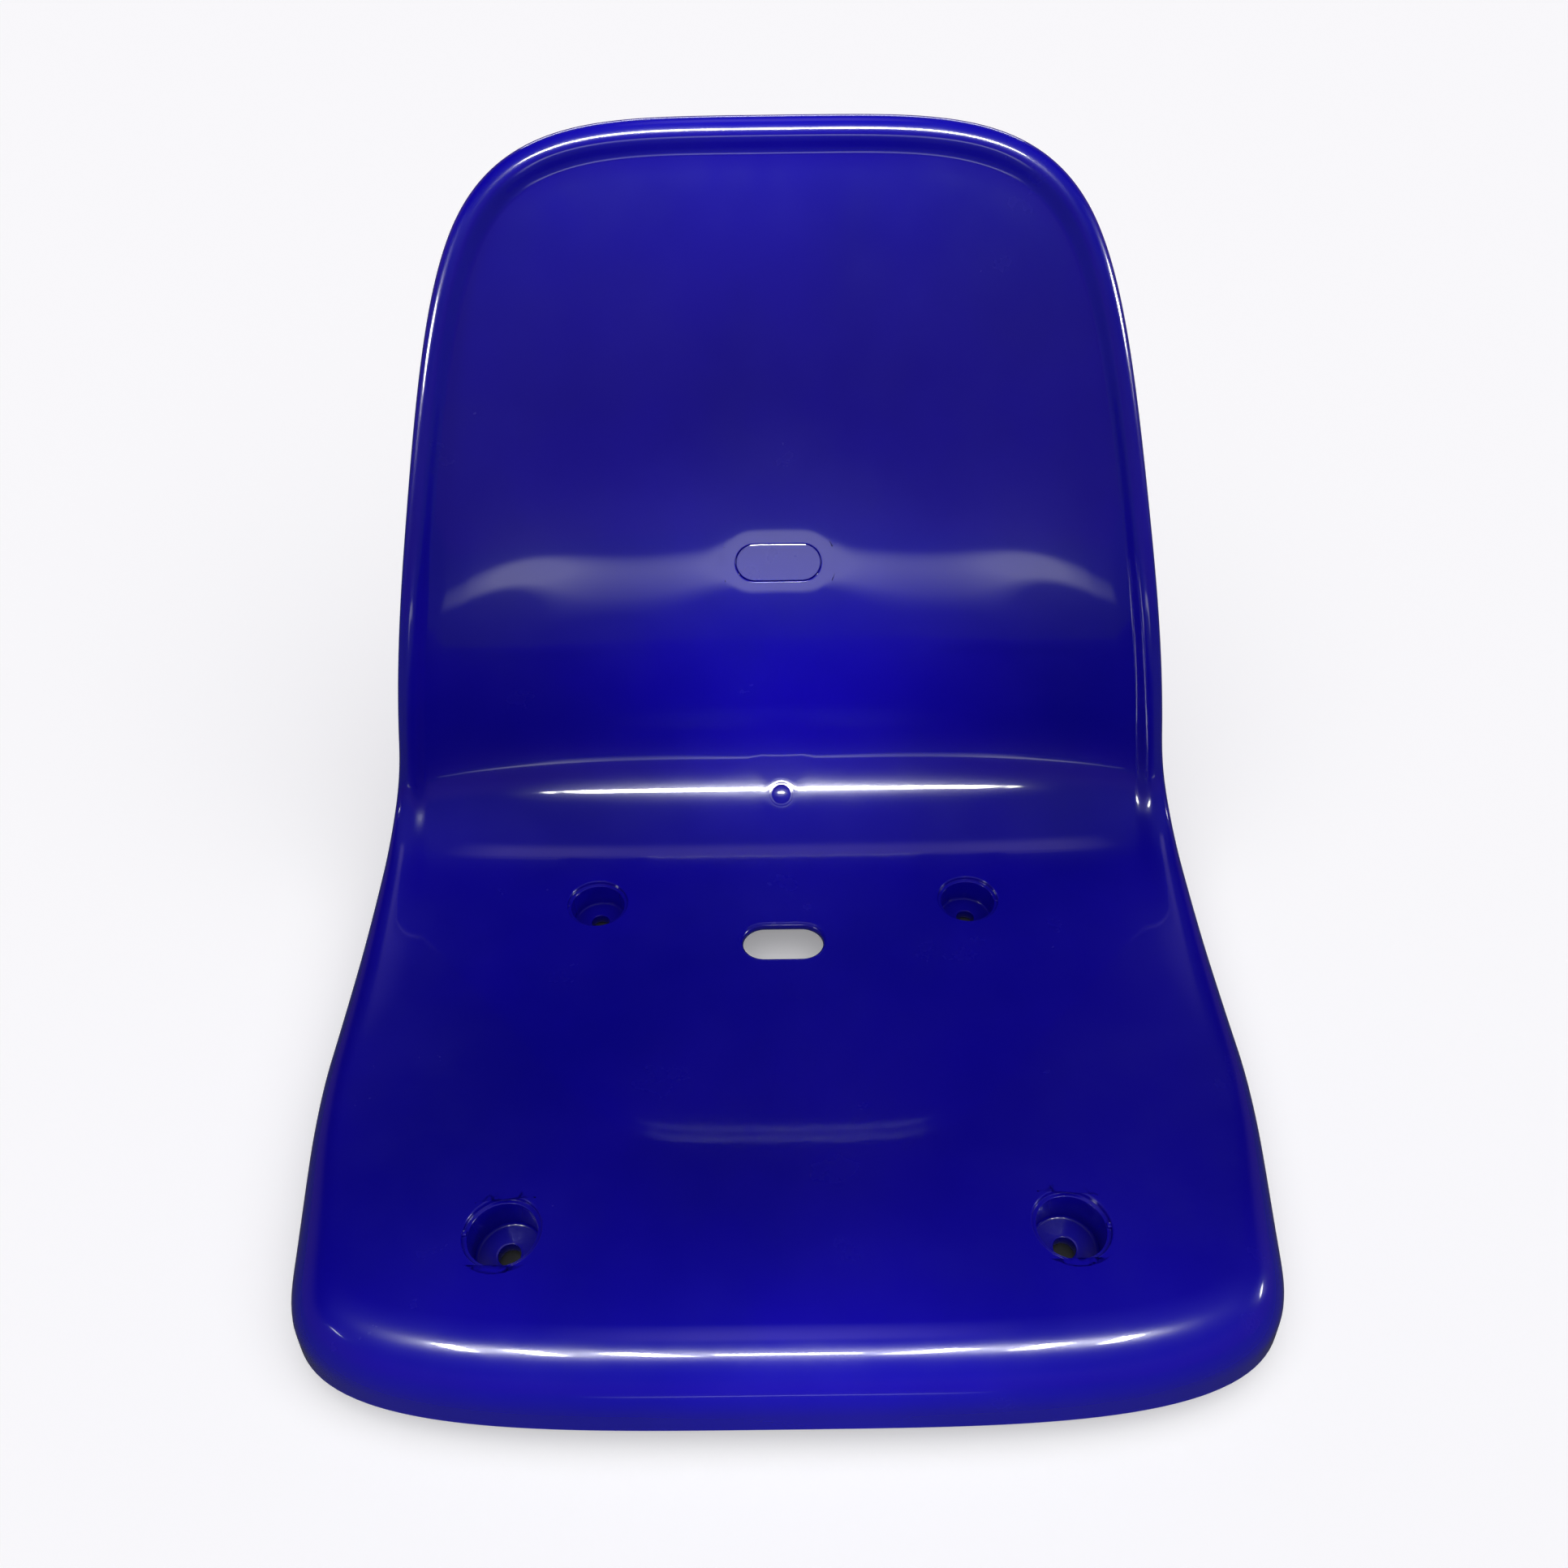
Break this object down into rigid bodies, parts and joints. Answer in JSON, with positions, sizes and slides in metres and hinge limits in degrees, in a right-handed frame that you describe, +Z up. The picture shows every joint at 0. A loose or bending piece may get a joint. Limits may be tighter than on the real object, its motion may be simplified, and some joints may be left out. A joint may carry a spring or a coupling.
{
  "type": "stadium seat",
  "caption": "Fixed high-backed stadium seat: one moulded plastic shell with bolt cups, a drain slot, a blank number plate, steel bushes and rubber foot pads.",
  "frame": {"origin": "on the ground plane that the foot pads stand on, under the middle of the seat's box", "axes": "+Z up, -Y towards the front of the seat, +X towards the right as seen from the front"},
  "size_m": [0.4318, 0.4192, 0.3725],
  "materials": {
    "shell_plastic": "glossy injection-moulded polypropylene, deep ultramarine blue",
    "plate_plastic": "moulded polypropylene in the same blue, slightly less glossy",
    "zinc_steel": "zinc-plated turned steel, satin",
    "pad_rubber": "black moulded rubber, matt"
  },
  "bodies": {
    "root": {"seat_shell": "shell_plastic", "number_plate": "plate_plastic", "bush_front_left": "zinc_steel", "bush_front_right": "zinc_steel", "bush_rear_left": "zinc_steel", "bush_rear_right": "zinc_steel", "foot_pad_front_left": "pad_rubber", "foot_pad_front_right": "pad_rubber", "foot_pad_rear_left": "pad_rubber", "foot_pad_rear_right": "pad_rubber"}
  },
  "joints": []
}
